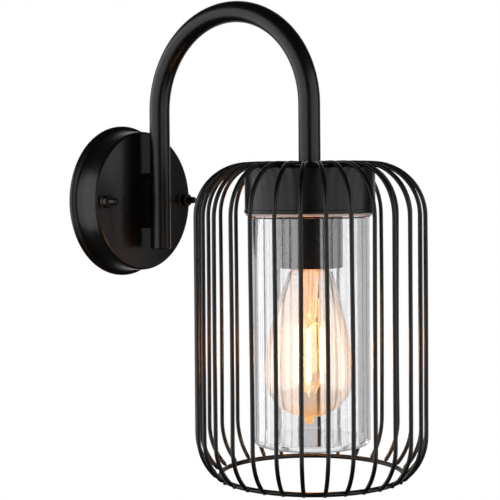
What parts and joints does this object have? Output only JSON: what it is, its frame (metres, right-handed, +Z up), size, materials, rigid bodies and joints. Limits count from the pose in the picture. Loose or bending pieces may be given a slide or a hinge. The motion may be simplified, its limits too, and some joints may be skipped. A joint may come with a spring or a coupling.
{
  "type": "cage wall light",
  "caption": "Wall light: round canopy, arched tube arm and a bar cage round a closed glass cylinder with a screw-in filament bulb; glass, bulb and thumb nuts unscrew.",
  "frame": {"origin": "centre of the canopy's back face, on the wall", "axes": "+Y into the wall, +Z up, the lamp hangs out towards -Y and the arm lies in the plane X = 0"},
  "size_m": [0.1684, 0.271, 0.3507],
  "materials": {
    "powder_coat": "satin black powder coat",
    "zinc_steel": "bright zinc plate",
    "brass": "plain machined brass",
    "nickel": "thin nickel-plated sheet, rolled thread",
    "ceramic": "glazed white lampholder ceramic",
    "nylon": "natural nylon",
    "cable_sheath": "black cable sheath",
    "core_brown": "core insulation",
    "core_blue": "core insulation",
    "core_green": "core insulation",
    "rubber": "black grommet rubber",
    "seal": "pale silicone",
    "clear_glass": "clear, smooth",
    "amber_glass": "clear with a light amber tint",
    "stem_glass": "clear lamp glass",
    "black_glass": "black lamp cap insulator",
    "support_wire": "bright nickel wire",
    "filament": "lit filament strip"
  },
  "bodies": {
    "fixture": {"mounting_bracket": "zinc_steel", "bracket_studs": "zinc_steel", "stud_locknuts": "zinc_steel", "wall_canopy": "powder_coat", "terminal_block": "nylon", "terminal_screws": "brass", "terminal_block_screw": "zinc_steel", "earth_screw": "brass", "arm_spacer": "powder_coat", "arm_fixing_screws": "zinc_steel", "arm_nut_blocks": "zinc_steel", "cable_grommet": "rubber", "arm_tube": "powder_coat", "arm_end_plug": "powder_coat", "arm_end_bush": "zinc_steel", "arm_cable": "cable_sheath", "live_wire": "core_brown", "neutral_wire": "core_blue", "earth_wire": "core_green", "arm_nipple": "brass", "nipple_washer": "zinc_steel", "nipple_locknut": "brass", "cage_hub": "powder_coat", "cage_bars": "powder_coat", "cage_ring": "powder_coat", "shade_cap": "powder_coat", "holder_sleeve": "powder_coat", "holder_bridge": "zinc_steel", "holder_screws": "zinc_steel", "holder_body": "ceramic", "holder_shell": "brass", "centre_contact": "brass"},
    "glass_seal": {"glass_gasket": "seal"},
    "glass": {"glass_shade": "clear_glass"},
    "bulb_contact": {"bulb_contact_tip": "brass"},
    "bulb": {"bulb_insulator": "black_glass", "bulb_screw_cap": "nickel", "bulb_glass": "amber_glass", "bulb_stem": "stem_glass", "bulb_supports": "support_wire", "bulb_filaments": "filament"},
    "washer_left": {"nut_washer_left": "zinc_steel"},
    "nut_left": {"thumb_nut_left": "powder_coat"},
    "washer_right": {"nut_washer_right": "zinc_steel"},
    "nut_right": {"thumb_nut_right": "powder_coat"}
  },
  "joints": [
    {"name": "glass_lower", "type": "slide", "parent": "fixture", "child": "glass_seal", "axis": [0, 0, -1], "range_m": [0, 0.00799]},
    {"name": "glass_turn", "type": "hinge", "parent": "glass_seal", "child": "glass", "pos_m": [0, -0.1865, 0], "axis": [0, 0, -1], "range_deg": [0, 720]},
    {"name": "bulb_lower", "type": "slide", "parent": "fixture", "child": "bulb_contact", "axis": [0, 0, -1], "range_m": [0, 0.00725]},
    {"name": "bulb_turn", "type": "hinge", "parent": "bulb_contact", "child": "bulb", "pos_m": [0, -0.1865, 0], "axis": [0, 0, -1], "range_deg": [0, 720]},
    {"name": "nut_left_out", "type": "slide", "parent": "fixture", "child": "washer_left", "axis": [0, -1, 0], "range_m": [0, 0.00699]},
    {"name": "nut_left_turn", "type": "hinge", "parent": "washer_left", "child": "nut_left", "pos_m": [-0.046, 0, 0], "axis": [0, -1, 0], "range_deg": [0, 3600]},
    {"name": "nut_right_out", "type": "slide", "parent": "fixture", "child": "washer_right", "axis": [0, -1, 0], "range_m": [0, 0.00699]},
    {"name": "nut_right_turn", "type": "hinge", "parent": "washer_right", "child": "nut_right", "pos_m": [0.046, 0, 0], "axis": [0, -1, 0], "range_deg": [0, 3600]}
  ],
  "couplings": [
    {"joint": "glass_turn", "follows": "glass_lower", "rad_per_m": 1570.8},
    {"joint": "bulb_turn", "follows": "bulb_lower", "rad_per_m": 1731.4},
    {"joint": "nut_left_turn", "follows": "nut_left_out", "rad_per_m": 8976},
    {"joint": "nut_right_turn", "follows": "nut_right_out", "rad_per_m": 8976}
  ]
}
